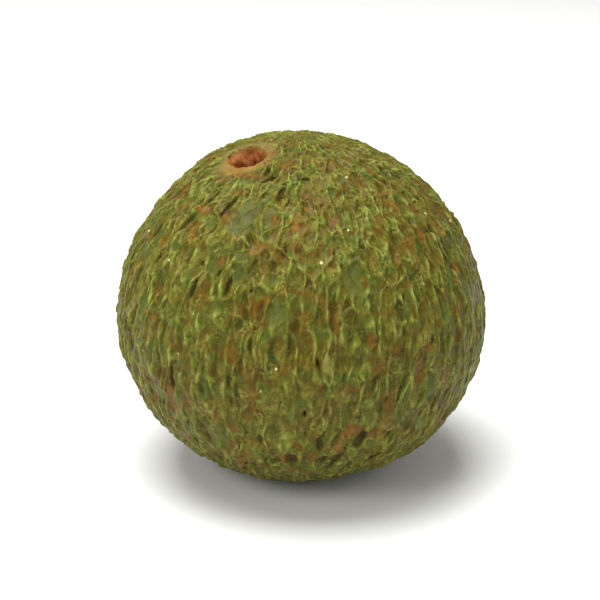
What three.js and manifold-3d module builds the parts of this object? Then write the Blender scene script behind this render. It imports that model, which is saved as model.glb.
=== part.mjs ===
// A moss ball ornament: one solid ball, a little lower than it is wide, leaner above its
// widest level than below it, with a stem hole leaning out of its crown and a small flat
// spot to stand on. Its skin is hand-worked, so it swells and dips all over.
// Millimetres, +Z up. The origin is on the flat spot, under the middle of the ball's width
// and depth, and -Y is the front. A bearing is measured in degrees from +X, anticlockwise
// seen from above, and a height in degrees above the ball's widest level.
import * as THREE from "three";
import { mergeVertices } from "three/addons/utils/BufferGeometryUtils.js";
import Module from "manifold-3d";

// The ball
const BALL_WIDTH = 100; // across its widest level
const CROWN_HEIGHT = 47.7; // from the widest level to the top
const KEEL_DEPTH = 46.2; // from the widest level to where the round underside would end
const FLAT_SPOT_WIDTH = 26; // what is cut off the underside, for the ball to stand on
const CROWN_FULLNESS = 1.83; // exponent of the outline: 2 is an ellipse, and less is leaner
const KEEL_FULLNESS = 2.07;
const SKIN_FACETS = 15; // how many times each edge of the starting icosahedron is cut

// The stem hole: a blind, tapered pit that points at the middle of the ball
const HOLE_WIDTH = 11; // across its mouth
const HOLE_FLOOR_WIDTH = 8;
const HOLE_DEPTH = 9.5; // to the middle of its dished floor
const HOLE_DISH = 2.2; // how much deeper that middle is than the floor's edge
const HOLE_LEAN = 20; // degrees from upright
const HOLE_BEARING = 206;
const HOLE_SIDES = 28;
const HOLE_DISH_RINGS = 4;
const HOLE_OVERSHOOT = 4; // how far the cutter reaches out past the skin

// Broad swells and dips left by the hands that made it: where the middle of each one is,
// how many degrees it spreads, and how far its middle stands out of the outline. At its
// edge it has faded to exp(-SWELL_FADE) of that.
const SWELL_FADE = 2;
const SWELLS = [
  { bearing: 165, height: 62, spread: 24, rise: 0.9 },
  { bearing: 80, height: 66, spread: 16, rise: -0.6 },
  { bearing: 352, height: 17, spread: 20, rise: -0.9 },
  { bearing: 186, height: 8, spread: 18, rise: -0.5 },
  { bearing: 330, height: -46, spread: 30, rise: 0.6 },
  { bearing: 235, height: 34, spread: 26, rise: 0.5 },
  { bearing: 284, height: 12, spread: 24, rise: 0.4 },
  { bearing: 60, height: 20, spread: 30, rise: 0.7 },
  { bearing: 110, height: -18, spread: 28, rise: -0.7 },
  { bearing: 20, height: -30, spread: 26, rise: 0.5 },
  { bearing: 150, height: -40, spread: 24, rise: 0.5 },
  { bearing: 189, height: -23, spread: 14, rise: -0.6 },
  { bearing: 305, height: -60, spread: 14, rise: -0.8 },
];

// Small knobs between them: waves that cross at different angles. The shortest are
// KNOB_SPACING from crest to crest, and the others up to twice that.
const KNOB_SPACING = 12;
const KNOB_RISE = 0.35; // root mean square
const KNOB_WAVES = 7;

const GREEN = 0x706b33;
const ROUGHNESS = 0.6;

const halfWidth = BALL_WIDTH / 2;
const flatSpotDepth =
  KEEL_DEPTH * (1 - (FLAT_SPOT_WIDTH / BALL_WIDTH) ** KEEL_FULLNESS) ** (1 / KEEL_FULLNESS);
const ballMiddle = new THREE.Vector3(0, 0, flatSpotDepth);
const goldenAngle = Math.PI * (3 - Math.sqrt(5));

function towards(bearing, height) {
  const turn = THREE.MathUtils.degToRad(bearing);
  const rise = THREE.MathUtils.degToRad(height);
  return new THREE.Vector3(
    Math.cos(turn) * Math.cos(rise),
    Math.sin(turn) * Math.cos(rise),
    Math.sin(rise),
  );
}

// How far the plain outline lies from the ball's middle in a direction.
function outline(direction) {
  const upper = direction.z > 0;
  const fullness = upper ? CROWN_FULLNESS : KEEL_FULLNESS;
  const halfHeight = upper ? CROWN_HEIGHT : KEEL_DEPTH;
  const across = Math.hypot(direction.x, direction.y) / halfWidth;
  const along = Math.abs(direction.z) / halfHeight;
  return (across ** fullness + along ** fullness) ** (-1 / fullness);
}

const swells = SWELLS.map((swell) => ({
  middle: towards(swell.bearing, swell.height),
  spread: THREE.MathUtils.degToRad(swell.spread),
  rise: swell.rise,
}));

function swelling(direction) {
  return swells.reduce((sum, { middle, spread, rise }) => {
    const away = direction.angleTo(middle) / spread;
    return sum + rise * Math.exp(-SWELL_FADE * away * away);
  }, 0);
}

// Each wave runs its own way, spread evenly over the sphere, and starts at its own phase.
const knobWaves = Array.from({ length: KNOB_WAVES }, (_, i) => {
  const z = 1 - (2 * i + 1) / KNOB_WAVES;
  const turn = i * goldenAngle;
  const level = Math.sqrt(1 - z * z);
  const spacing = KNOB_SPACING * (1 + (i % 3) / 2);
  return {
    along: new THREE.Vector3(Math.cos(turn) * level, Math.sin(turn) * level, z),
    pace: (2 * Math.PI * halfWidth) / spacing,
    start: i * goldenAngle,
  };
});

function knobs(direction) {
  const sum = knobWaves.reduce(
    (total, { along, pace, start }) => total + Math.sin(direction.dot(along) * pace + start),
    0,
  );
  return (KNOB_RISE * sum) / Math.sqrt(KNOB_WAVES / 2);
}

const skinDistance = (direction) =>
  outline(direction) + swelling(direction) + knobs(direction);

const wasm = await Module();
wasm.setup();

function solidOf(geometry) {
  const bare = geometry.clone();
  bare.deleteAttribute("normal");
  bare.deleteAttribute("uv");
  const merged = mergeVertices(bare, 1e-4);
  return new wasm.Manifold(
    new wasm.Mesh({
      numProp: 3,
      vertProperties: merged.attributes.position.array,
      triVerts: new Uint32Array(merged.index.array),
    }),
  );
}

function geometryOf(solid) {
  const { vertProperties, triVerts } = solid.getMesh();
  const geometry = new THREE.BufferGeometry();
  geometry.setAttribute("position", new THREE.BufferAttribute(vertProperties, 3));
  geometry.setIndex(new THREE.BufferAttribute(triVerts, 1));
  geometry.computeVertexNormals();
  return geometry;
}

// The whole skin, round underneath, about the ball's middle.
function skin() {
  const geometry = new THREE.IcosahedronGeometry(1, SKIN_FACETS);
  const place = geometry.attributes.position;
  const direction = new THREE.Vector3();
  for (let i = 0; i < place.count; i++) {
    direction.fromBufferAttribute(place, i).normalize();
    const point = direction.clone().multiplyScalar(skinDistance(direction)).add(ballMiddle);
    place.setXYZ(i, point.x, point.y, point.z);
  }
  return geometry;
}

// The block that takes the round underside off, so that its top is the flat spot's plane.
function underCutter() {
  const height = KEEL_DEPTH;
  const block = new THREE.BoxGeometry(2 * BALL_WIDTH, 2 * BALL_WIDTH, height);
  return block.translate(0, 0, -height / 2);
}

// The stem hole's cutter: a dished floor, then a straight taper out through the skin.
function holeCutter() {
  const axis = towards(HOLE_BEARING, 90 - HOLE_LEAN);
  const mouth = skinDistance(axis);
  const floor = mouth - HOLE_DEPTH;
  const floorRadius = HOLE_FLOOR_WIDTH / 2;
  const mouthRadius = HOLE_WIDTH / 2;
  const flare = (mouthRadius - floorRadius) / (HOLE_DEPTH - HOLE_DISH);
  const profile = [new THREE.Vector2(0, floor)];
  for (let i = 1; i <= HOLE_DISH_RINGS; i++) {
    const turn = ((i / HOLE_DISH_RINGS) * Math.PI) / 2;
    const rise = HOLE_DISH * (1 - Math.cos(turn));
    profile.push(new THREE.Vector2(floorRadius * Math.sin(turn), floor + rise));
  }
  const end = mouth + HOLE_OVERSHOOT;
  profile.push(new THREE.Vector2(mouthRadius + flare * HOLE_OVERSHOOT, end));
  profile.push(new THREE.Vector2(0, end));
  const upright = new THREE.Vector3(0, 1, 0);
  return new THREE.LatheGeometry(profile, HOLE_SIDES)
    .applyQuaternion(new THREE.Quaternion().setFromUnitVectors(upright, axis))
    .translate(ballMiddle.x, ballMiddle.y, ballMiddle.z);
}

// The swells leave the ball a little off centre, so it is set square over the origin last.
function overOrigin(geometry) {
  geometry.computeBoundingBox();
  const middle = geometry.boundingBox.getCenter(new THREE.Vector3());
  return geometry.translate(-middle.x, -middle.y, 0);
}

const ball = solidOf(skin()).subtract(solidOf(underCutter())).subtract(solidOf(holeCutter()));

const mossBall = new THREE.Mesh(
  overOrigin(geometryOf(ball)),
  new THREE.MeshStandardMaterial({ color: GREEN, roughness: ROUGHNESS, metalness: 0 }),
);
mossBall.name = "moss_ball";

const ornament = new THREE.Group();
ornament.add(mossBall);

export default ornament;
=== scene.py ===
"""A moss ball ornament: a cast resin ball with a tooled, ridged skin, stained terracotta and
painted in moss greens, with a stem hole leaning out of its crown and a flat spot to stand on.

Sizes are in millimetres until each piece is finished, and metres after that. +Z is up and -Y
is the front. A bearing is in degrees from +X, anticlockwise seen from above, and a height is in
degrees above the ball's widest level. The skin is described by its direction from the ball's
middle, so its shape and its paint are worked out from the same pattern.
"""

import math

import bpy
import numpy as np
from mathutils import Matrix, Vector


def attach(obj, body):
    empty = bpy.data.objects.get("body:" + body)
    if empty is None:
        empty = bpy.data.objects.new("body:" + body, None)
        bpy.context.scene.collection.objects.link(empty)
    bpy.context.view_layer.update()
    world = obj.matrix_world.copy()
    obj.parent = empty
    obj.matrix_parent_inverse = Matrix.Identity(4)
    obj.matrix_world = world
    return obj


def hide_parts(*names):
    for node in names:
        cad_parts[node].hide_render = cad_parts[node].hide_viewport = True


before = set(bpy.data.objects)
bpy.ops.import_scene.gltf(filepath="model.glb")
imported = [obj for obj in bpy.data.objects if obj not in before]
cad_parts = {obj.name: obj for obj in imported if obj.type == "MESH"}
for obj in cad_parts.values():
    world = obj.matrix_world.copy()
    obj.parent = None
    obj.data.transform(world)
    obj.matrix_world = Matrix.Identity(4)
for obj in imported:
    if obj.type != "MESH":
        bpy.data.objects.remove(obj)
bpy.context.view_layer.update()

MM = 0.001

# The ball's plain outline
HALF_WIDTH = 50
CROWN_HEIGHT = 47.7
KEEL_DEPTH = 46.2
CROWN_FULLNESS = 1.83
KEEL_FULLNESS = 2.07
FLAT_SPOT_WIDTH = 26
FLAT_SPOT_SHARE = (FLAT_SPOT_WIDTH / 2 / HALF_WIDTH) ** KEEL_FULLNESS
MIDDLE_HEIGHT = KEEL_DEPTH * (1 - FLAT_SPOT_SHARE) ** (1 / KEEL_FULLNESS)

# Broad swells and dips: bearing, height, how many degrees each spreads, and its rise
SWELL_FADE = 2
SWELLS = [
    (165, 62, 24, 0.9),
    (80, 66, 16, -0.6),
    (352, 17, 20, -0.9),
    (186, 8, 18, -0.5),
    (330, -46, 30, 0.6),
    (235, 34, 26, 0.5),
    (284, 12, 24, 0.4),
    (60, 20, 30, 0.7),
    (110, -18, 28, -0.7),
    (20, -30, 26, 0.5),
    (150, -40, 24, 0.5),
    (189, -23, 14, -0.6),
    (305, -60, 14, -0.8),
]

# The stem hole
HOLE_LEAN = 20
HOLE_BEARING = 206
HOLE_MOUTH_DISTANCE = 47.0  # from the ball's middle
HOLE_REACH = 13  # degrees from its axis to where the skin is no longer drawn in to it
# From the axis outwards: where a stretch ends, in degrees on the uncut ball, how many degrees
# of the finished ball it covers, and how much deeper its inner end is than its outer one.
HOLE_PROFILE = [(3.4, 5.4, 1.9), (8.8, 1.7, 6.9), (HOLE_REACH, HOLE_REACH - 7.1, 0.7)]
HOLE_RAG = 0.16  # how far its edge wanders in and out, as a share of its width
HOLE_OVAL = 0.15  # how far its edge is out along its length and in across it, in the same way
HOLE_LONG_BEARING = 299  # which way its length runs
HOLE_RAG_PACE = 1.6  # of the noise that it wanders by, on a circle of radius 1
HOLE_RAG_FADE = 5  # degrees outside the hole over which the wandering dies away
WALL_ROUGHNESS = 0.7
WALL_LUMP_SPACING = 2.2
WALL_PALE_SPACING = 1.6  # of the paler patches on the walls
RING_SPACING = 3.0  # of the ragged edge of the stained ring round the mouth

# The tooled skin. Its grain runs from the crown down to the flat spot.
SEED = 3
GRAIN_GATHER = 0.6  # 1 keeps a mark's width up to the crown, and less gathers the grain there
GRAIN_TWIST = 0.05  # how far the grain turns about the upright, for each degree that it climbs
WANDERS = [(13, 3.4), (5.0, 1.4), (2.0, 0.45)]  # the grain's bends: how far apart, how far aside
CELL_WIDTH = 3.7  # between the ridges, across the grain
CELL_STRETCH = 2.9  # how much longer a cell is than it is wide
RIDGE_WIDTH = 1.0  # from a ridge's crest to its foot
RIDGE_THINNEST = 0.5  # as a share of that width
RIDGE_WIDEST = 1.6
RIDGE_WAVER_SPACING = 2.5  # between its thin and its wide stretches
RIDGE_HEIGHT = 0.14
RIDGE_RUN = 4.0  # how far a ridge runs before it fades
RIDGE_WEAKEST = 0.12  # what is left of one there, as a share of its strength
CROSSING_LOSS = 0.8  # what a ridge loses where it runs straight across the grain
BANK_WIDTH = 1.5  # from a ridge's crest to where the cell's floor levels out
BANK_HEIGHT = 0.32
CELL_DEPTH = 0.30  # of the deepest cells
CELL_HEAD_SHARE = 0.3  # how much deeper a cell is at its head, as a share of that depth
BARE_CELL_SHARE = 0.6  # how deep the bare cells are, in the same way
STRAND_PATCH_SPACING = 4.5  # between the patches of skin that have strands
# Strands that lie over the cells: spacing, stretch, width as a share of their noise, height,
# and how strongly the pale green is caught on them
STRANDS = [(4.4, 3.2, 0.05, 0.14, 0.6), (2.2, 4.0, 0.06, 0.06, 0.35)]
FURROW_SPACING = 2.4
FURROW_STRETCH = 5
FURROW_DEPTH = 0.42
SLIT_SPACING = 3.0
SLIT_STRETCH = 3.5
SLIT_RARITY = 0.45  # the share of places for a slit that have none, at the widest level
SLIT_RARER_UP = 0.35  # and how much greater that share is at the crown
SLIT_DEPTH = 0.7
LUMP_SPACING = 5
LUMP_HEIGHT = 0.55
RELIEF_REST = 0.25  # how far the skin's middle level is above its mean, taken off again
SEED_STEP = (17.3, 31.7, 53.9)  # how far each seed moves along the noises
NEXT_STRAND = 60  # how far the noises of two kinds of strand are kept apart
FURROW_SHIFT = (0, 80, 0)  # and how far the furrows' noise is kept from them

# The paint: how far apart its marks are
STREAK_SPACING = 0.9  # of the streaks that a coarse brush leaves
STREAK_SQUEEZE = 0.28  # their width as a share of their length
WASH_SPACING = 2.5  # of the pools in which the wash dried
TINT_SPACING = 5.0
STAIN_SPACING = 4.2
DAB_SPACING = 2.8  # of the dabs of dry-brushed green
STIPPLE_SPACING = 0.9
STIPPLED_PATCH_SPACING = 6.0
FLECK_SPACING = 3.6
FLECK_RAG_SPACING = 0.5
FLECK_CLUSTER_SPACING = 14
GRIT_SPACING = 0.7
GRIT_HEIGHT = 0.2  # in the bump, on top of the relief

# A patch's edge wanders in and out. These are how far, and how far out from its middle the patch
# begins to fade and is gone, with half of PATCH_RAG counted in. They are shares of its half sizes.
PATCH_RAG = 1.6
PATCH_FADES = 1.5
PATCH_ENDS = 2.15

# Stained patches, listed one by one: bearing, height, half length, half width, and the lean of the
# length from the upright in degrees
STAINS = [
    (254, 36, 3.2, 2.2, -20),
    (231, 50, 3.0, 1.0, -30),
    (268, 46, 2.6, 1.2, 20),
    (277, 38, 2.0, 1.2, 0),
    (281, 36, 1.6, 1.0, 0),
    (222, 60, 5.0, 1.6, 60),
    (264, -31, 2.2, 1.6, 0),
    (237, -26, 1.6, 0.5, -20),
    (284, -20, 3.0, 1.6, 0),
    (283, -27, 1.8, 1.8, 0),
    (296, -24, 2.4, 1.8, 30),
    (266, -10, 1.6, 0.9, 0),
    (266, 45, 2.6, 1.5, 10),
    (274, 53, 2.6, 1.4, 25),
    (221, 46, 1.4, 4.0, 0),
    (323, 37, 2.2, 1.4, 0),
]
# Smooth cells without ridges, listed in the same way
BARE_CELLS = [(246, 46, 5.0, 3.2, 10), (287, 27, 4.0, 2.0, 10), (262, 17, 3.6, 1.8, 0)]
# Deep cuts, listed in the same way
CUTS = [
    (267, -32, 2.6, 1.7, 0),
    (289, -24, 3.4, 1.2, 26),
    (282, -34, 3.8, 0.9, 21),
    (277, -33, 1.6, 1.1, 20),
    (298, -35, 3.4, 0.7, 35),
    (277, -20, 1.4, 0.3, 0),
    (276, -24, 2.4, 0.8, 0),
    (299, -23, 1.8, 0.5, 20),
    (271, -12, 0.9, 0.3, 0),
    (257, -23, 1.5, 0.8, 0),
    (272, 63, 0.5, 1.4, 0),
    (248, 62, 1.8, 0.6, 40),
    (234, 49, 3.4, 0.7, 10),
    (221, 49, 3.0, 0.6, 10),
    (217, 40, 4.2, 0.7, 20),
    (259, 57, 2.4, 0.7, 15),
    (202, 33, 3.0, 0.6, 0),
    (246, 24, 2.4, 0.5, 10),
    (234, 22, 2.4, 0.5, 10),
    (229, -6, 2.6, 0.7, 0),
    (192, 50, 3.6, 0.4, 0),
    (197, 42, 3.6, 0.4, 0),
    (193, 22, 3.4, 0.4, 0),
    (202, 10, 3.0, 0.4, 0),
    (207, -14, 3.0, 0.5, 0),
    (213, 28, 3.2, 0.4, 10),
    (216, -25, 2.6, 0.6, 0),
]

# The mesh
CUBE_SIDE_POINTS = 250  # on each side of the cube that the ball is rounded from
MOST_TRIANGLES = 190_000
MAP_MARGIN = 0.01

# The camera, in metres and degrees
CAMERA_HEIGHT = 20  # degrees above the horizon
CAMERA_DISTANCE = 0.451
AIM_RIGHT = -0.0003  # from the ball's middle to what the camera looks at
AIM_UP = 0.0016

# The studio
FLOOR_HALF_WIDTH = 3.0
SKY_STRENGTH = 0.34
LAMP_TARGET = (0, 0, 0.04)
LAMPS = [  # name, place, side of its square panel, watts
    ("top", (-0.15, 0.0, 1.1), 0.8, 19.5),
    ("key", (-0.7, -0.7, 0.7), 0.5, 4.8),
    ("fill", (0.8, -0.6, 0.5), 0.8, 2),
]

MATH = "ShaderNodeMath"
VECTOR = "ShaderNodeVectorMath"
RANGE = "ShaderNodeMapRange"
MIX = "ShaderNodeMix"
NOISE = "ShaderNodeTexNoise"
VORONOI = "ShaderNodeTexVoronoi"
COMBINE = "ShaderNodeCombineXYZ"
SEPARATE = "ShaderNodeSeparateXYZ"


def add(tree, kind, inputs=None, **settings):
    """Adds one node. An input is a value, a socket, or a node, whose first live output is used."""
    made = tree.nodes.new(kind)
    for name, value in settings.items():
        setattr(made, name, value)
    for key, value in (inputs or {}).items():
        named = (s for s in made.inputs if s.name == key and s.enabled)
        socket = made.inputs[key] if isinstance(key, int) else next(named)
        if isinstance(value, bpy.types.Node):
            value = next(s for s in value.outputs if s.enabled)
        if isinstance(value, bpy.types.NodeSocket):
            tree.links.new(value, socket)
        else:
            socket.default_value = value
    return made


def towards(bearing, height):
    """The direction of a bearing and a height, as a unit vector."""
    turn, rise = math.radians(bearing), math.radians(height)
    return Vector((math.cos(turn) * math.cos(rise), math.sin(turn) * math.cos(rise), math.sin(rise)))


def linear(hex_colour):
    """An sRGB colour such as "#8a9a3c", as the linear RGBA that a shader takes."""
    parts = [int(hex_colour[i : i + 2], 16) / 255 for i in (1, 3, 5)]
    return tuple(p / 12.92 if p <= 0.04045 else ((p + 0.055) / 1.055) ** 2.4 for p in parts) + (1,)


HOLE_AXIS = towards(HOLE_BEARING, 90 - HOLE_LEAN)


def patch(tree, place, noise, mark):
    """A ragged oval laid on the skin, as a socket that is 1 in it and 0 around it."""
    bearing, height, half_length, half_width, lean = mark
    middle = towards(bearing, height)
    aside = Vector((0, 0, 1)).cross(middle).normalized()
    upward = middle.cross(aside)
    turn = math.radians(lean)
    length_way = upward * math.cos(turn) + aside * math.sin(turn)
    width_way = aside * math.cos(turn) - upward * math.sin(turn)
    parts = {}
    for name, way, reach in (("X", length_way, half_length), ("Y", width_way, half_width)):
        way = tuple(way / reach)
        parts[name] = add(tree, VECTOR, {0: place, 1: way}, operation="DOT_PRODUCT").outputs["Value"]
    # The third part keeps it off the far side of the ball.
    facing = add(tree, VECTOR, {0: place, 1: tuple(middle)}, operation="DOT_PRODUCT")
    facing = facing.outputs["Value"]
    parts["Z"] = add(tree, MATH, {0: facing, 1: HALF_WIDTH}, operation="SUBTRACT")
    offset = add(tree, COMBINE, parts)
    away = add(tree, VECTOR, {0: offset}, operation="LENGTH").outputs["Value"]
    ragged = add(tree, MATH, {0: noise, 1: PATCH_RAG, 2: away}, operation="MULTIPLY_ADD")
    return add(
        tree, RANGE, {"Value": ragged, "From Min": PATCH_ENDS, "From Max": PATCH_FADES},
        interpolation_type="SMOOTHSTEP",
    )


def tooled_skin(tree, place, seed):
    """The marks of the tool at a place on a round ball of HALF_WIDTH, most of them from 0 to 1.

    The same nodes shape the skin and paint it. place is in millimetres from the ball's middle.
    "seeded" is the place and "grain" the place along the grain, to lay other patterns on, and
    "own" splits into three numbers that each cell has to itself.
    """
    shift = add(tree, VECTOR, {0: SEED_STEP, "Scale": seed}, operation="SCALE")
    seeded = add(tree, VECTOR, {0: place, 1: shift}, operation="ADD")

    # Along the grain is the arc up from the widest level, and across it is the way round.
    split = add(tree, SEPARATE, {0: place})
    level = add(tree, VECTOR, {0: place, 1: (1, 1, 0)}, operation="MULTIPLY")
    off_axis = add(tree, VECTOR, {0: level}, operation="LENGTH").outputs["Value"]
    latitude = add(tree, MATH, {0: split.outputs["Z"], 1: off_axis}, operation="ARCTAN2")
    arc = add(tree, MATH, {0: latitude, 1: HALF_WIDTH}, operation="MULTIPLY")
    # A little is added, so that the power stays finite at the poles.
    share = add(tree, MATH, {0: off_axis, 1: 1 / HALF_WIDTH, 2: 0.02}, operation="MULTIPLY_ADD")
    gather = add(tree, MATH, {0: share, 1: GRAIN_GATHER - 1}, operation="POWER")
    turn = add(tree, MATH, {0: latitude, 1: -GRAIN_TWIST}, operation="MULTIPLY")
    turned = add(
        tree, "ShaderNodeVectorRotate", {"Vector": level, "Angle": turn}, rotation_type="Z_AXIS",
    )
    around = add(tree, VECTOR, {0: turned, "Scale": gather}, operation="SCALE")
    upward = add(tree, COMBINE, {"Z": arc})
    grain = add(tree, VECTOR, {0: around, 1: upward}, operation="ADD")
    grain = add(tree, VECTOR, {0: grain, 1: shift}, operation="ADD")
    for spacing, swing in WANDERS:
        noise = add(tree, NOISE, {"Vector": seeded, "Scale": 1 / spacing, "Detail": 0.0})
        centred = add(tree, VECTOR, {0: noise.outputs["Color"], 1: (0.5,) * 3}, operation="SUBTRACT")
        swung = add(tree, VECTOR, {0: centred, "Scale": swing}, operation="SCALE")
        grain = add(tree, VECTOR, {0: grain, 1: swung}, operation="ADD")

    # Gouged cells. The ridge between two of them is measured off in true millimetres along the
    # skin, so that it is as thin across the grain as along it.
    squeeze = (1, 1, 1 / CELL_STRETCH)
    squeezed = add(tree, VECTOR, {0: grain, 1: squeeze}, operation="MULTIPLY")
    nearest = add(tree, VORONOI, {"Vector": squeezed, "Scale": 1 / CELL_WIDTH})
    second = add(tree, VORONOI, {"Vector": squeezed, "Scale": 1 / CELL_WIDTH}, feature="F2")
    apart = add(
        tree, VECTOR, {0: second.outputs["Position"], 1: nearest.outputs["Position"]},
        operation="SUBTRACT",
    )
    across = add(tree, VECTOR, {0: apart}, operation="NORMALIZE")
    in_cell = add(tree, VECTOR, {0: squeezed, 1: nearest.outputs["Position"]}, operation="SUBTRACT")
    half_apart = add(tree, VECTOR, {0: apart, "Scale": 0.5}, operation="SCALE")
    short = add(tree, VECTOR, {0: half_apart, 1: in_cell}, operation="SUBTRACT")
    off_ridge = add(tree, VECTOR, {0: short, 1: across}, operation="DOT_PRODUCT").outputs["Value"]
    true_across = add(tree, VECTOR, {0: across, 1: squeeze}, operation="MULTIPLY")
    outward = add(tree, VECTOR, {0: turned}, operation="NORMALIZE")
    inner = add(tree, VECTOR, {0: true_across, 1: outward}, operation="DOT_PRODUCT").outputs["Value"]
    hidden = add(tree, VECTOR, {0: outward, "Scale": inner}, operation="SCALE")
    seen = add(tree, VECTOR, {0: true_across, 1: hidden}, operation="SUBTRACT")
    seen_length = add(tree, VECTOR, {0: seen}, operation="LENGTH").outputs["Value"]
    # A boundary that lies flat under the skin isn't widened without end.
    seen_length = add(tree, MATH, {0: seen_length, 1: 0.2}, operation="MAXIMUM")
    edge = add(tree, MATH, {0: off_ridge, 1: seen_length}, operation="DIVIDE")
    waver = add(tree, NOISE, {"Vector": squeezed, "Scale": 1 / RIDGE_WAVER_SPACING, "Detail": 1.0})
    reach = add(
        tree, RANGE,
        {"Value": waver, "From Min": 0.3, "From Max": 0.7,
         "To Min": RIDGE_THINNEST * RIDGE_WIDTH, "To Max": RIDGE_WIDEST * RIDGE_WIDTH},
    )
    whole_ridge = add(
        tree, RANGE, {"Value": edge, "From Max": reach, "To Min": 1.0, "To Max": 0.0},
        interpolation_type="SMOOTHSTEP",
    )
    run = add(tree, NOISE, {"Vector": seeded, "Scale": 1 / RIDGE_RUN, "Detail": 2.5})
    strength = add(
        tree, RANGE,
        {"Value": run, "From Min": 0.40, "From Max": 0.60, "To Min": RIDGE_WEAKEST},
    )
    upright = add(tree, SEPARATE, {0: seen}).outputs["Z"]
    crossing = add(tree, MATH, {0: upright, 1: seen_length}, operation="DIVIDE")
    crossing = add(tree, MATH, {0: crossing, 1: crossing}, operation="MULTIPLY")
    weaker = add(
        tree, MATH, {0: crossing, 1: -CROSSING_LOSS, 2: 1.0}, operation="MULTIPLY_ADD",
    )
    strength = add(tree, MATH, {0: strength, 1: weaker}, operation="MULTIPLY")
    ridge = add(tree, MATH, {0: whole_ridge, 1: strength}, operation="MULTIPLY")
    whole_bank = add(
        tree, RANGE, {"Value": edge, "From Max": BANK_WIDTH, "To Min": 1.0, "To Max": 0.0},
        interpolation_type="SMOOTHSTEP",
    )
    bank = add(tree, MATH, {0: whole_bank, 1: strength}, operation="MULTIPLY")
    up_cell = add(tree, SEPARATE, {0: in_cell}).outputs["Z"]
    head = add(
        tree, RANGE,
        {"Value": up_cell, "From Min": 0.05 * CELL_WIDTH, "From Max": 0.42 * CELL_WIDTH},
        interpolation_type="SMOOTHSTEP",
    )
    own = add(tree, SEPARATE, {0: nearest.outputs["Color"]})

    # Strands are contours of a noise that is drawn out along the grain.
    strands = []
    for number, (spacing, stretch, width, _, _) in enumerate(STRANDS, 1):
        aside = (NEXT_STRAND * number, 0, 0)
        drawn = add(tree, VECTOR, {0: grain, 1: (1, 1, 1 / stretch)}, operation="MULTIPLY")
        moved = add(tree, VECTOR, {0: drawn, 1: aside}, operation="ADD")
        noise = add(tree, NOISE, {"Vector": moved, "Scale": 1 / spacing, "Detail": 0.0})
        level_off = add(tree, MATH, {0: noise, 1: 0.5}, operation="SUBTRACT")
        away = add(tree, MATH, {0: level_off}, operation="ABSOLUTE")
        line = add(
            tree, RANGE, {"Value": away, "From Max": width, "To Min": 1.0, "To Max": 0.0},
            interpolation_type="SMOOTHSTEP",
        )
        moved = add(tree, VECTOR, {0: seeded, 1: aside}, operation="ADD")
        patches = add(
            tree, NOISE, {"Vector": moved, "Scale": 1 / STRAND_PATCH_SPACING, "Detail": 1.0},
        )
        here = add(tree, RANGE, {"Value": patches, "From Min": 0.42, "From Max": 0.60})
        strands.append(add(tree, MATH, {0: line, 1: here}, operation="MULTIPLY"))

    # Furrows and slits that the tool cut along the grain, and then the listed cuts
    drawn = add(tree, VECTOR, {0: grain, 1: (1, 1, 1 / FURROW_STRETCH)}, operation="MULTIPLY")
    moved = add(tree, VECTOR, {0: drawn, 1: FURROW_SHIFT}, operation="ADD")
    noise = add(tree, NOISE, {"Vector": moved, "Scale": 1 / FURROW_SPACING, "Detail": 1.0})
    furrow = add(
        tree, RANGE, {"Value": noise, "From Min": 0.46, "From Max": 0.30},
        interpolation_type="SMOOTHSTEP",
    )
    drawn = add(tree, VECTOR, {0: grain, 1: (1, 1, 1 / SLIT_STRETCH)}, operation="MULTIPLY")
    slits = add(tree, VORONOI, {"Vector": drawn, "Scale": 1 / SLIT_SPACING})
    chance = add(tree, SEPARATE, {0: slits.outputs["Color"]})
    rarity = add(
        tree, MATH, {0: split.outputs["Z"], 1: SLIT_RARER_UP / HALF_WIDTH, 2: SLIT_RARITY},
        operation="MULTIPLY_ADD",
    )
    chosen = add(tree, MATH, {0: chance, 1: rarity}, operation="GREATER_THAN")
    slit_shape = add(
        tree, RANGE, {"Value": slits.outputs["Distance"], "From Min": 0.18, "From Max": 0.04},
        interpolation_type="SMOOTHSTEP",
    )
    slit = add(tree, MATH, {0: slit_shape, 1: chosen}, operation="MULTIPLY")
    for mark in CUTS:
        cut = patch(tree, place, run, mark)
        slit = add(tree, MATH, {0: slit, 1: cut}, operation="MAXIMUM")

    # The bare cells have none of these marks.
    bare = None
    for mark in BARE_CELLS:
        one = patch(tree, place, run, mark)
        bare = one if bare is None else add(tree, MATH, {0: bare, 1: one}, operation="MAXIMUM")
    covered = add(tree, MATH, {0: 1.0, 1: bare}, operation="SUBTRACT")
    ridge, bank, *strands, slit, furrow = [
        add(tree, MATH, {0: mark, 1: covered}, operation="MULTIPLY")
        for mark in (ridge, bank, *strands, slit, furrow)
    ]
    return {
        "seeded": seeded, "grain": grain, "run": run, "own": own, "head": head, "bare": bare,
        "ridge": ridge, "bank": bank, "strands": strands, "slit": slit, "furrow": furrow,
    }


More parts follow.
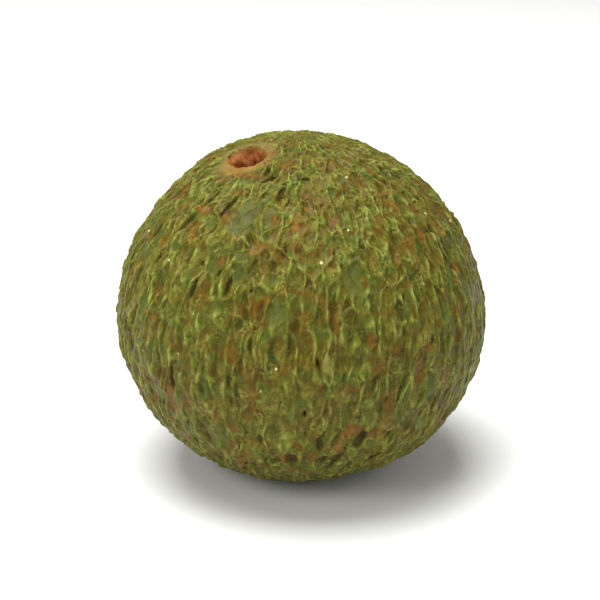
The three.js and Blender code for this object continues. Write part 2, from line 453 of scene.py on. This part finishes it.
def skin_relief(tree, marks):
    """How far the tooled skin stands out of the ball's broad shape, in millimetres."""
    floor = add(tree, MATH, {0: 1.0, 1: marks["bank"]}, operation="SUBTRACT")
    sunk = add(tree, MATH, {0: marks["own"].outputs["X"], 1: floor}, operation="MULTIPLY")
    dipped = add(tree, MATH, {0: marks["head"], 1: floor}, operation="MULTIPLY")
    lumps = add(tree, NOISE, {"Vector": marks["seeded"], "Scale": 1 / LUMP_SPACING, "Detail": 2.0})
    centred = add(tree, MATH, {0: lumps, 1: 0.5}, operation="SUBTRACT")
    total = add(
        tree, MATH, {0: centred, 1: 2 * LUMP_HEIGHT, 2: -RELIEF_REST}, operation="MULTIPLY_ADD",
    )
    rises = [
        (marks["ridge"], RIDGE_HEIGHT),
        (marks["bank"], BANK_HEIGHT),
        (marks["slit"], -SLIT_DEPTH),
        (marks["furrow"], -FURROW_DEPTH),
        (marks["bare"], -BARE_CELL_SHARE * CELL_DEPTH),
        (sunk, -CELL_DEPTH),
        (dipped, -CELL_HEAD_SHARE * CELL_DEPTH),
    ]
    rises += [(mark, height) for mark, (_, _, _, height, _) in zip(marks["strands"], STRANDS)]
    for mark, rise in rises:
        total = add(tree, MATH, {0: mark, 1: rise, 2: total}, operation="MULTIPLY_ADD")
    return total


def ball_tree(material):
    """The nodes that shape the ball, and the sizes that they take."""
    tree = bpy.data.node_groups.new("moss ball shape", "GeometryNodeTree")
    sizes = {
        "Half Width": HALF_WIDTH,
        "Crown Height": CROWN_HEIGHT,
        "Keel Depth": KEEL_DEPTH,
        "Crown Fullness": CROWN_FULLNESS,
        "Keel Fullness": KEEL_FULLNESS,
        "Middle Height": MIDDLE_HEIGHT,
        "Points On A Side": CUBE_SIDE_POINTS,
        "Seed": SEED,
    }
    for name in sizes:
        whole = name in ("Points On A Side", "Seed")
        kind = "NodeSocketInt" if whole else "NodeSocketFloat"
        tree.interface.new_socket(name, in_out="INPUT", socket_type=kind)
    tree.interface.new_socket("Geometry", in_out="OUTPUT", socket_type="NodeSocketGeometry")
    size = add(tree, "NodeGroupInput").outputs

    points = size["Points On A Side"]
    cube = add(
        tree, "GeometryNodeMeshCube",
        {"Size": (2, 2, 2), "Vertices X": points, "Vertices Y": points, "Vertices Z": points},
    )
    # The tangent keeps the cube's rows evenly spaced once they are pushed out to the ball.
    corner = add(tree, "GeometryNodeInputPosition")
    eighth = add(tree, VECTOR, {0: corner, "Scale": math.pi / 4}, operation="SCALE")
    eased = add(tree, VECTOR, {0: eighth}, operation="TANGENT")
    aim = add(tree, VECTOR, {0: eased}, operation="NORMALIZE")

    # The stem hole draws the skin in towards its axis and down.
    cosine = add(tree, VECTOR, {0: aim, 1: HOLE_AXIS}, operation="DOT_PRODUCT").outputs["Value"]
    along = add(tree, VECTOR, {0: tuple(HOLE_AXIS), "Scale": cosine}, operation="SCALE")
    aside = add(tree, VECTOR, {0: aim, 1: along}, operation="SUBTRACT")
    outward = add(tree, VECTOR, {0: aside}, operation="NORMALIZE")
    angle = add(tree, MATH, {0: cosine}, operation="ARCCOSINE")
    uncut = add(tree, MATH, {0: angle}, operation="DEGREES")
    ragged = add(tree, NOISE, {"Vector": outward, "Scale": HOLE_RAG_PACE, "Detail": 1.0})
    swing = add(tree, RANGE, {"Value": ragged, "To Min": -HOLE_RAG, "To Max": HOLE_RAG})
    fade = add(
        tree, RANGE,
        {"Value": uncut, "From Min": HOLE_REACH, "From Max": HOLE_REACH - HOLE_RAG_FADE},
        interpolation_type="SMOOTHSTEP",
    )
    length_way = tuple(towards(HOLE_LONG_BEARING, 0))
    lengthwise = add(tree, VECTOR, {0: outward, 1: length_way}, operation="DOT_PRODUCT")
    lengthwise = lengthwise.outputs["Value"]
    squared = add(tree, MATH, {0: lengthwise, 1: lengthwise}, operation="MULTIPLY")
    oval = add(tree, MATH, {0: squared, 1: 2 * HOLE_OVAL, 2: -HOLE_OVAL}, operation="MULTIPLY_ADD")
    swing = add(tree, MATH, {0: swing, 1: oval}, operation="ADD")
    swung = add(tree, MATH, {0: swing, 1: fade}, operation="MULTIPLY")
    widened = add(tree, MATH, {0: swung, 1: 1.0}, operation="ADD")
    beyond = add(tree, MATH, {0: uncut, 1: HOLE_REACH}, operation="SUBTRACT")
    covered = add(tree, MATH, {0: beyond, 1: 0.0}, operation="MAXIMUM")
    depth = None
    start = 0
    for end, cover, deepening in HOLE_PROFILE:
        stretch = {"Value": uncut, "From Min": start, "From Max": end}
        step = add(tree, RANGE, {**stretch, "To Max": cover})
        covered = add(tree, MATH, {0: covered, 1: step}, operation="ADD")
        fall = add(
            tree, RANGE, {**stretch, "To Min": deepening, "To Max": 0.0},
            interpolation_type="SMOOTHSTEP",
        )
        depth = fall if depth is None else add(tree, MATH, {0: depth, 1: fall}, operation="ADD")
        start = end
    covered = add(tree, MATH, {0: covered, 1: widened}, operation="MULTIPLY")
    final_angle = add(tree, MATH, {0: covered}, operation="RADIANS")
    final_cosine = add(tree, MATH, {0: final_angle}, operation="COSINE")
    final_sine = add(tree, MATH, {0: final_angle}, operation="SINE")
    part_along = add(tree, VECTOR, {0: tuple(HOLE_AXIS), "Scale": final_cosine}, operation="SCALE")
    part_aside = add(tree, VECTOR, {0: outward, "Scale": final_sine}, operation="SCALE")
    direction = add(tree, VECTOR, {0: part_along, 1: part_aside}, operation="ADD")

    # The plain outline: above the widest level it is leaner than below it.
    split = add(tree, SEPARATE, {0: direction})
    level = add(tree, COMBINE, {"X": split.outputs["X"], "Y": split.outputs["Y"]})
    level_length = add(tree, VECTOR, {0: level}, operation="LENGTH").outputs["Value"]
    upper = add(tree, MATH, {0: split.outputs["Z"], 1: 0.0}, operation="GREATER_THAN")
    fullness, half_height = [
        add(tree, MIX, {"Factor": upper, "A": size[of_keel], "B": size[of_crown]})
        for of_keel, of_crown in (("Keel Fullness", "Crown Fullness"), ("Keel Depth", "Crown Height"))
    ]
    across = add(tree, MATH, {0: level_length, 1: size["Half Width"]}, operation="DIVIDE")
    steepness = add(tree, MATH, {0: split.outputs["Z"]}, operation="ABSOLUTE")
    upward = add(tree, MATH, {0: steepness, 1: half_height}, operation="DIVIDE")
    across_power = add(tree, MATH, {0: across, 1: fullness}, operation="POWER")
    upward_power = add(tree, MATH, {0: upward, 1: fullness}, operation="POWER")
    both = add(tree, MATH, {0: across_power, 1: upward_power}, operation="ADD")
    root = add(tree, MATH, {0: -1.0, 1: fullness}, operation="DIVIDE")
    distance = add(tree, MATH, {0: both, 1: root}, operation="POWER")

    for bearing, height, spread, rise in SWELLS:
        middle = tuple(towards(bearing, height))
        near = add(tree, VECTOR, {0: direction, 1: middle}, operation="DOT_PRODUCT").outputs["Value"]
        away = add(tree, MATH, {0: near}, operation="ARCCOSINE")
        scaled = add(tree, MATH, {0: away, 1: 1 / math.radians(spread)}, operation="MULTIPLY")
        squared = add(tree, MATH, {0: scaled, 1: scaled}, operation="MULTIPLY")
        faded = add(tree, MATH, {0: squared, 1: -SWELL_FADE}, operation="MULTIPLY")
        bell = add(tree, MATH, {0: faded}, operation="EXPONENT")
        distance = add(tree, MATH, {0: bell, 1: rise, 2: distance}, operation="MULTIPLY_ADD")

    # The tooled relief dies away over the first millimetre down the hole, whose walls are rough in
    # their own way.
    place = add(tree, VECTOR, {0: direction, "Scale": size["Half Width"]}, operation="SCALE")
    marks = tooled_skin(tree, place, size["Seed"])
    relief = skin_relief(tree, marks)
    outside = add(
        tree, RANGE, {"Value": depth, "From Min": 1.2, "From Max": 0.1},
        interpolation_type="SMOOTHSTEP",
    )
    kept_relief = add(tree, MATH, {0: relief, 1: outside}, operation="MULTIPLY")
    with_relief = add(tree, MATH, {0: distance, 1: kept_relief}, operation="ADD")
    sunk = add(tree, MATH, {0: with_relief, 1: depth}, operation="SUBTRACT")
    raw = add(tree, VECTOR, {0: direction, "Scale": sunk}, operation="SCALE")
    wall_noise = add(tree, NOISE, {"Vector": raw, "Scale": 1 / WALL_LUMP_SPACING, "Detail": 3.0})
    wall_swing = add(
        tree, RANGE,
        {"Value": wall_noise, "From Min": 0.25, "From Max": 0.75,
         "To Min": -WALL_ROUGHNESS, "To Max": WALL_ROUGHNESS},
    )
    inside = add(tree, RANGE, {"Value": depth, "From Min": 0.3, "From Max": 2.0})
    wall_push = add(tree, MATH, {0: wall_swing, 1: inside}, operation="MULTIPLY")
    pushed = add(tree, VECTOR, {0: outward, "Scale": wall_push}, operation="SCALE")
    rough = add(tree, VECTOR, {0: raw, 1: pushed}, operation="ADD")

    # The flat spot takes off whatever reaches below it.
    drop = add(tree, SEPARATE, {0: rough}).outputs["Z"]
    lowest = add(tree, MATH, {0: size["Middle Height"], 1: -1.0}, operation="MULTIPLY")
    allowed = add(tree, MATH, {0: lowest, 1: drop}, operation="DIVIDE")
    capped = add(tree, MATH, {0: allowed, 1: 1.0}, operation="MINIMUM")
    below = add(tree, MATH, {0: drop, 1: lowest}, operation="LESS_THAN")
    shrink = add(tree, MIX, {"Factor": below, "A": 1.0, "B": capped})
    cut = add(tree, VECTOR, {0: rough, "Scale": shrink}, operation="SCALE")
    lift = add(tree, COMBINE, {"Z": size["Middle Height"]})
    lifted = add(tree, VECTOR, {0: cut, 1: lift}, operation="ADD")
    metres = add(tree, VECTOR, {0: lifted, "Scale": MM}, operation="SCALE")

    ball = add(tree, "GeometryNodeSetPosition", {"Geometry": cube, "Position": metres})
    cut_up = add(tree, "GeometryNodeTriangulate", {"Mesh": ball})
    smooth = add(tree, "GeometryNodeSetShadeSmooth", {0: cut_up})
    real = add(tree, "GeometryNodeRealizeInstances", {"Geometry": smooth})
    painted = add(tree, "GeometryNodeSetMaterial", {"Geometry": real, "Material": material})
    add(tree, "NodeGroupOutput", {0: painted})
    return tree, sizes


def lay_out(mesh, from_middle):
    """Gives the mesh a map: its directions from the middle, unfolded from an octahedron."""
    corners = np.empty(len(mesh.loops), np.int32)
    mesh.loops.foreach_get("vertex_index", corners)
    away = from_middle / np.abs(from_middle).sum(axis=1, keepdims=True)
    away = away[corners].reshape(-1, 3, 3)
    # A whole triangle goes to the same eighth as its middle.
    sides = np.where(away.mean(axis=1, keepdims=True) < 0, -1, 1)
    x, y = away[:, :, 0], away[:, :, 1]
    side_x, side_y = sides[:, :, 0], sides[:, :, 1]
    folded = sides[:, :, 2] < 0
    across = np.where(folded, (1 - y * side_y) * side_x, x)
    upward = np.where(folded, (1 - x * side_x) * side_y, y)
    spots = np.stack([across, upward], axis=-1) * (0.5 - MAP_MARGIN) + 0.5
    chart = mesh.uv_layers.new(name="OFBake")
    chart.data.foreach_set("uv", spots.astype(np.float32).ravel())


def moss_ball(material):
    """The finished ball, as a plain mesh that stands on the floor."""
    tree, sizes = ball_tree(material)
    blank = bpy.data.objects.new("moss_ball_blank", bpy.data.meshes.new("moss_ball_blank"))
    bpy.context.scene.collection.objects.link(blank)
    shaping = blank.modifiers.new("shape", "NODES")
    shaping.node_group = tree
    for item in tree.interface.items_tree:
        if item.in_out == "INPUT":
            shaping[item.identifier] = sizes[item.name]
    thinning = blank.modifiers.new("fewer triangles", "DECIMATE")
    side = CUBE_SIDE_POINTS - 1
    triangles = 6 * 2 * side * side
    thinning.ratio = min(1, MOST_TRIANGLES / triangles)
    bpy.context.view_layer.update()
    shaped = blank.evaluated_get(bpy.context.evaluated_depsgraph_get())
    mesh = bpy.data.meshes.new_from_object(shaped)
    mesh.name = "moss_ball_skin"
    points = np.empty(3 * len(mesh.vertices), np.float32)
    mesh.vertices.foreach_get("co", points)
    points = points.reshape(-1, 3)
    # Thinning can push a point a little way through the flat spot.
    points[:, 2] = np.maximum(points[:, 2], 0)
    mesh.vertices.foreach_set("co", points.ravel())
    lay_out(mesh, points - (0, 0, MIDDLE_HEIGHT * MM))
    ball = bpy.data.objects.new("moss_ball_skin", mesh)
    bpy.context.scene.collection.objects.link(ball)
    bpy.data.objects.remove(blank)
    return ball


def painted_resin():
    """Cast resin in matt paint. To the eye it is dull olive and moss green with a soft, broad gleam
    on what stands up, paler green caught along the ridges, and terracotta showing in the gouges.
    """
    name = "tooled cast resin, moss green dry-brushed over terracotta stain"
    material = bpy.data.materials.new(name)
    material.use_nodes = True
    tree = material.node_tree
    tree.nodes.clear()
    where = add(tree, "ShaderNodeTexCoord").outputs["Object"]
    middle = (0, 0, MIDDLE_HEIGHT * MM)
    from_middle = add(tree, VECTOR, {0: where, 1: middle}, operation="SUBTRACT")
    millimetres = add(tree, VECTOR, {0: from_middle, "Scale": 1 / MM}, operation="SCALE")
    direction = add(tree, VECTOR, {0: millimetres}, operation="NORMALIZE")
    place = add(tree, VECTOR, {0: direction, "Scale": HALF_WIDTH}, operation="SCALE")
    marks = tooled_skin(tree, place, SEED)
    seeded = marks["seeded"]
    own = marks["own"].outputs

    # The floors of the cells are washed in olive and grey-green.
    drawn = add(tree, VECTOR, {0: marks["grain"], 1: (1, 1, STREAK_SQUEEZE)}, operation="MULTIPLY")
    streaks = add(
        tree, NOISE, {"Vector": drawn, "Scale": 1 / STREAK_SPACING, "Detail": 2.0, "Roughness": 0.6},
    )
    wash = add(
        tree, NOISE, {"Vector": seeded, "Scale": 1 / WASH_SPACING, "Detail": 4.0, "Roughness": 0.65},
    )
    both = add(tree, MATH, {0: streaks, 1: wash}, operation="ADD")
    washed = add(tree, RANGE, {"Value": both, "From Min": 0.82, "From Max": 1.18})
    tint = add(tree, NOISE, {"Vector": marks["grain"], "Scale": 1 / TINT_SPACING, "Detail": 2.0})
    green = add(tree, MATH, {0: own["Y"], 1: 0.12, 2: tint}, operation="MULTIPLY_ADD")
    greened = add(
        tree, RANGE, {"Value": green, "From Min": 0.53, "From Max": 0.68, "To Max": 0.7},
    )

    # Brown and orange stain shows through in blotches, more in some cells than in others.
    blotches = add(tree, NOISE, {"Vector": seeded, "Scale": 1 / STAIN_SPACING, "Detail": 4.0})
    stain = add(tree, MATH, {0: own["Z"], 1: 0.16, 2: blotches}, operation="MULTIPLY_ADD")
    for mark in STAINS:
        laid = patch(tree, place, marks["run"], mark)
        stain = add(tree, MATH, {0: laid, 1: 0.19, 2: stain}, operation="MULTIPLY_ADD")
    stain = add(tree, MATH, {0: marks["bare"], 1: -0.3, 2: stain}, operation="MULTIPLY_ADD")
    browned = add(
        tree, RANGE, {"Value": stain, "From Min": 0.56, "From Max": 0.72, "To Max": 0.85},
    )
    oranged = add(
        tree, RANGE, {"Value": stain, "From Min": 0.72, "From Max": 0.92, "To Max": 0.85},
    )

    # Painted shade darkens the heads of the cells, under the ridge above, and the furrows and slits
    # that the tool cut.
    painted_head_shade = add(tree, MATH, {0: marks["head"], 1: 0.4}, operation="MULTIPLY")
    painted_furrow_shade = add(tree, MATH, {0: marks["furrow"], 1: 0.6}, operation="MULTIPLY")
    bare = add(tree, MATH, {0: marks["bare"], 1: 0.75}, operation="MULTIPLY")
    painted_slit_shade = add(tree, MATH, {0: marks["slit"], 1: 0.75}, operation="MULTIPLY")

    # Pale green is dry-brushed along the ridges and strands, and catches less on the stain.
    bright = add(tree, NOISE, {"Vector": seeded, "Scale": 1 / DAB_SPACING, "Detail": 4.0})
    brightened = add(tree, RANGE, {"Value": bright, "From Min": 0.38, "From Max": 0.62})
    tanned = add(tree, RANGE, {"Value": tint, "From Min": 0.50, "From Max": 0.38, "To Max": 0.6})
    brushed = marks["ridge"]
    for mark, (_, _, _, _, caught) in zip(marks["strands"], STRANDS):
        scaled = add(tree, MATH, {0: mark, 1: caught}, operation="MULTIPLY")
        brushed = add(tree, MATH, {0: brushed, 1: scaled}, operation="MAXIMUM")
    unstained = add(tree, MATH, {0: browned, 1: -0.5, 2: 1.0}, operation="MULTIPLY_ADD")
    brushed = add(tree, MATH, {0: brushed, 1: unstained}, operation="MULTIPLY")
    broken = add(
        tree, RANGE, {"Value": streaks, "From Min": 0.35, "From Max": 0.60, "To Min": 0.35},
    )
    brushed = add(tree, MATH, {0: brushed, 1: broken}, operation="MULTIPLY")

    # In places the brush has also stippled the floors between them, on the grit of the resin. The
    # grit is nearer 0.2 mm, and STIPPLE_SPACING is as coarse as it needs to be to show.
    stipple = add(tree, NOISE, {"Vector": seeded, "Scale": 1 / STIPPLE_SPACING, "Detail": 2.0})
    specks = add(tree, RANGE, {"Value": stipple, "From Min": 0.48, "From Max": 0.62})
    patches = add(
        tree, NOISE,
        {"Vector": marks["grain"], "Scale": 1 / STIPPLED_PATCH_SPACING, "Detail": 1.0},
    )
    patches = add(tree, MATH, {0: marks["bare"], 1: -0.3, 2: patches}, operation="MULTIPLY_ADD")
    stippled = add(
        tree, RANGE, {"Value": patches, "From Min": 0.50, "From Max": 0.68, "To Max": 0.5},
    )
    stippled = add(tree, MATH, {0: specks, 1: stippled}, operation="MULTIPLY")
    brushed = add(tree, MATH, {0: brushed, 1: stippled}, operation="MAXIMUM")
    pitted = add(tree, RANGE, {"Value": stipple, "From Min": 0.46, "From Max": 0.34, "To Max": 0.4})

    # Painted highlights: ragged cream flecks, which come in clusters, are painted where small glints
    # catch.
    rag = add(tree, NOISE, {"Vector": seeded, "Scale": 1 / FLECK_RAG_SPACING, "Detail": 1.0})
    ragged = add(tree, VECTOR, {0: rag.outputs["Color"], "Scale": 0.9}, operation="SCALE")
    ragged = add(tree, VECTOR, {0: ragged, 1: seeded}, operation="ADD")
    flecks = add(tree, VORONOI, {"Vector": ragged, "Scale": 1 / FLECK_SPACING})
    chance = add(tree, SEPARATE, {0: flecks.outputs["Color"]})
    clusters = add(tree, NOISE, {"Vector": seeded, "Scale": 1 / FLECK_CLUSTER_SPACING, "Detail": 0.0})
    likely = add(tree, MATH, {0: clusters, 1: 1.4, 2: chance}, operation="MULTIPLY_ADD")
    chosen = add(tree, MATH, {0: likely, 1: 1.7}, operation="GREATER_THAN")
    fleck = add(
        tree, RANGE, {"Value": flecks.outputs["Distance"], "From Min": 0.15, "From Max": 0.07},
    )
    painted_glints = add(tree, MATH, {0: fleck, 1: chosen}, operation="MULTIPLY")

    # The stem hole's walls and floor are bare stain, with painted shade that darkens them further in,
    # and a thin ring of the stain on the skin around the mouth.
    axis = tuple(HOLE_AXIS)
    along = add(tree, VECTOR, {0: millimetres, 1: axis}, operation="DOT_PRODUCT").outputs["Value"]
    on_axis = add(tree, VECTOR, {0: axis, "Scale": along}, operation="SCALE")
    aside = add(tree, VECTOR, {0: millimetres, 1: on_axis}, operation="SUBTRACT")
    off_axis = add(tree, VECTOR, {0: aside}, operation="LENGTH").outputs["Value"]
    near_axis = add(tree, RANGE, {"Value": off_axis, "From Min": 9.5, "From Max": 8.0})
    upper = add(tree, MATH, {0: along, 1: 0.0}, operation="GREATER_THAN")
    here = add(tree, MATH, {0: near_axis, 1: upper}, operation="MULTIPLY")
    reach = add(tree, VECTOR, {0: millimetres}, operation="LENGTH").outputs["Value"]
    depth = add(tree, MATH, {0: HOLE_MOUTH_DISTANCE, 1: reach}, operation="SUBTRACT")
    deep = add(tree, RANGE, {"Value": depth, "From Min": 0.3, "From Max": 1.6})
    in_hole = add(tree, MATH, {0: deep, 1: here}, operation="MULTIPLY")
    painted_hole_shade = add(tree, RANGE, {"Value": depth, "From Min": 1.5, "From Max": 5.0})
    wall_noise = add(
        tree, NOISE, {"Vector": millimetres, "Scale": 1 / WALL_PALE_SPACING, "Detail": 3.0},
    )
    paled = add(
        tree, RANGE, {"Value": wall_noise, "From Min": 0.4, "From Max": 0.6, "To Max": 0.4},
    )
    ring_noise = add(tree, NOISE, {"Vector": seeded, "Scale": 1 / RING_SPACING, "Detail": 2.0})
    ring_edge = add(tree, MATH, {0: ring_noise, 1: 9.0, 2: off_axis}, operation="MULTIPLY_ADD")
    ring = add(tree, RANGE, {"Value": ring_edge, "From Min": 14.0, "From Max": 10.0, "To Max": 0.6})
    ringed = add(tree, MATH, {0: ring, 1: upper}, operation="MULTIPLY")

    # Each coat: the colour it starts from, then what is laid over it and where
    # The head, furrow, slit and deep wall layers are painted shade, and the cream flecks painted
    # highlights.
    coats = {
        "floor": [
            (None, "#46440a"), (washed, "#696220"), (greened, "#43511c"), (bare, "#545a28"),
            (browned, "#5e4210"), (oranged, "#80541e"), (painted_head_shade, "#383008"), (painted_furrow_shade, "#332c06"),
            (pitted, "#3a3410"),
        ],
        "crest": [(None, "#6d7424"), (brightened, "#979e46"), (tanned, "#887c48")],
        "wall": [(None, "#aa6a38"), (painted_hole_shade, "#6a210e"), (paled, "#bd8850")],
        "skin": [
            (None, "floor"), (brushed, "crest"), (painted_slit_shade, "#33200a"), (painted_glints, "#c8bd88"),
            (ringed, "#7e6636"), (in_hole, "wall"),
        ],
    }
    laid = {}
    for coat, layers in coats.items():
        for cover, colour in layers:
            colour = linear(colour) if colour.startswith("#") else laid[colour]
            if cover is None:
                laid[coat] = colour
                continue
            inputs = {"Factor": cover, "A": laid[coat], "B": colour}
            laid[coat] = add(tree, MIX, inputs, data_type="RGBA")

    # The bump sharpens the relief that the mesh already has, and adds the grit of the resin, which
    # is also nearer 0.2 mm and drawn as coarse as it needs to be to show.
    relief = skin_relief(tree, marks)
    out_of_hole = add(tree, MATH, {0: 1.0, 1: in_hole}, operation="SUBTRACT")
    kept = add(tree, MATH, {0: relief, 1: out_of_hole}, operation="MULTIPLY")
    grit = add(tree, NOISE, {"Vector": millimetres, "Scale": 1 / GRIT_SPACING, "Detail": 2.0})
    height = add(tree, MATH, {0: grit, 1: GRIT_HEIGHT, 2: kept}, operation="MULTIPLY_ADD")
    bump = add(tree, "ShaderNodeBump", {"Height": height, "Strength": 0.4, "Distance": MM})
    gleam = add(
        tree, RANGE,
        {"Value": wash, "From Min": 0.35, "From Max": 0.65, "To Min": 0.36, "To Max": 0.50},
    )
    # The paint is powdery: it leaves little of the resin's own gleam, and a faint pale sheen that
    # shows where the skin turns away.
    shader = add(
        tree, "ShaderNodeBsdfPrincipled",
        {"Base Color": laid["skin"], "Roughness": gleam, "Normal": bump,
         "IOR": 1.5, "Specular IOR Level": 0.08,
         "Sheen Weight": 0.06, "Sheen Roughness": 0.35, "Sheen Tint": linear("#c9cf92")},
    )
    add(tree, "ShaderNodeOutputMaterial", {"Surface": shader})
    return material


def studio():
    """A sheet of pale paper, which is matt and even and shows only the ball's soft shadow, under
    white light from all round and three soft lamps.
    """
    floor_mesh = bpy.data.meshes.new("floor")
    half = FLOOR_HALF_WIDTH
    corners = [(-half, -half, 0), (half, -half, 0), (half, half, 0), (-half, half, 0)]
    floor_mesh.from_pydata(corners, [], [(0, 1, 2, 3)])
    floor = bpy.data.objects.new("floor", floor_mesh)
    bpy.context.scene.collection.objects.link(floor)
    paper = bpy.data.materials.new("uncoated paper, pale grey")
    paper.use_nodes = True
    shader = paper.node_tree.nodes["Principled BSDF"]
    shader.inputs["Base Color"].default_value = linear("#eeeeec")
    shader.inputs["Roughness"].default_value = 0.9
    floor_mesh.materials.append(paper)
    world = bpy.data.worlds.new("studio")
    bpy.context.scene.world = world
    world.use_nodes = True
    sky = world.node_tree.nodes["Background"].inputs
    sky["Color"].default_value = (1, 1, 1, 1)
    sky["Strength"].default_value = SKY_STRENGTH
    target = Vector(LAMP_TARGET)
    for name, spot, side, watts in LAMPS:
        light = bpy.data.lights.new(name, "AREA")
        light.size = side
        light.energy = watts
        lamp = bpy.data.objects.new(name, light)
        lamp.location = spot
        lamp.rotation_euler = (target - Vector(spot)).to_track_quat("-Z", "Y").to_euler()
        bpy.context.scene.collection.objects.link(lamp)


def camera():
    """A long lens in front of the ball, looking a little down on it."""
    elevation = math.radians(CAMERA_HEIGHT)
    middle = Vector((0, 0, MIDDLE_HEIGHT * MM))
    back = Vector((0, -math.cos(elevation), math.sin(elevation)))
    up = Vector((0, math.sin(elevation), math.cos(elevation)))
    lens = bpy.data.cameras.new("camera")
    lens.lens = 100
    lens.sensor_width = 36
    seen_from = bpy.data.objects.new("camera", lens)
    target = middle + up * AIM_UP + Vector((AIM_RIGHT, 0, 0))
    seen_from.location = target + back * CAMERA_DISTANCE
    seen_from.rotation_euler = (-back).to_track_quat("-Z", "Y").to_euler()
    bpy.context.scene.collection.objects.link(seen_from)
    bpy.context.scene.camera = seen_from


camera()
studio()
bpy.context.scene.view_settings.view_transform = "Standard"

skin = moss_ball(painted_resin())
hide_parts("moss_ball")
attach(skin, "root")
